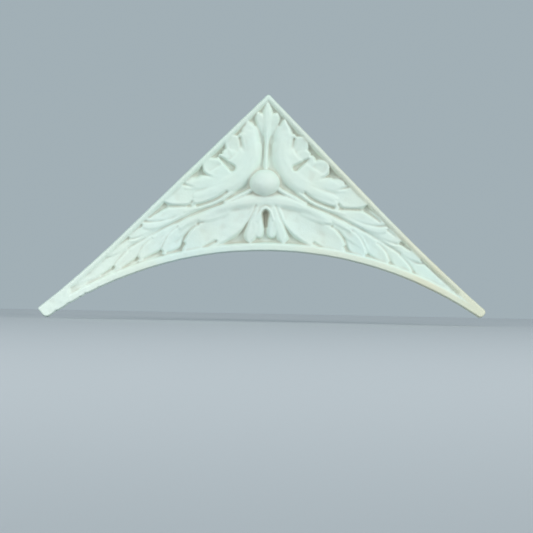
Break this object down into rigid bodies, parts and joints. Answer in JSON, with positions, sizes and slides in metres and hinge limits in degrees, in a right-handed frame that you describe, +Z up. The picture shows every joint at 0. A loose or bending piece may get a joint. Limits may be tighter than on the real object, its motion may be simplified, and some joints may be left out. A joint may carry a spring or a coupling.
{
  "type": "moulding corner",
  "caption": "Cast corner ornament: a right-angled spandrel with a raised rim, an arched foot and acanthus relief round a ball, glued flat to a panel or frame.",
  "frame": {"origin": "on the flat back, on the centre line of the spray, level with the centre of the ball", "axes": "+X along the span towards the right tip, +Y out of the flat back towards the wall, +Z up towards the apex; the carved front faces -Y"},
  "size_m": [0.2002, 0.0096, 0.1016],
  "materials": {
    "cast_resin": "smooth satin-matte cast resin, mint white with grey-brown shading in the hollows"
  },
  "bodies": {
    "root": {"moulding_corner": "cast_resin"}
  },
  "joints": []
}
